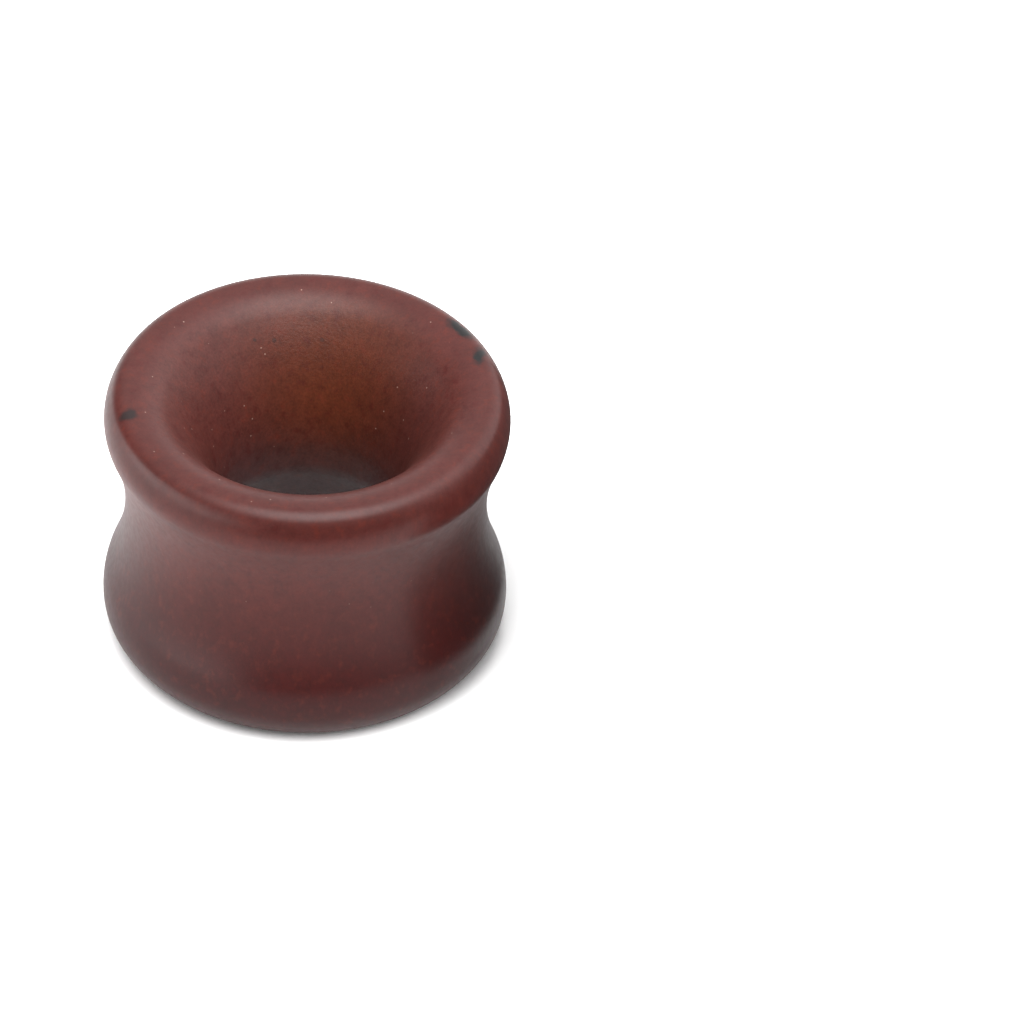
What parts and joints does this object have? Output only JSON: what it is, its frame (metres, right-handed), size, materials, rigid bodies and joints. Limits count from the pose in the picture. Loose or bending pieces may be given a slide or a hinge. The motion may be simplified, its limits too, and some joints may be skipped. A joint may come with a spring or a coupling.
{
  "type": "wooden flesh tunnel",
  "caption": "Turned wooden double-flared flesh tunnel: a saddle-waisted hollow ear plug with rounded rims and a mouth at each end that sweeps in to a round through bore.",
  "frame": {"origin": "centre of the plane that the back rim rests on, on the bore's axis", "axes": "+Z along the bore from the back rim towards the front mouth; the piece is round about it, so X and Y are free"},
  "size_m": [0.0224, 0.0224, 0.0165],
  "materials": {
    "oiled_hardwood": "satin, hand-oiled"
  },
  "bodies": {
    "root": {"tunnel_body": "oiled_hardwood"}
  },
  "joints": []
}
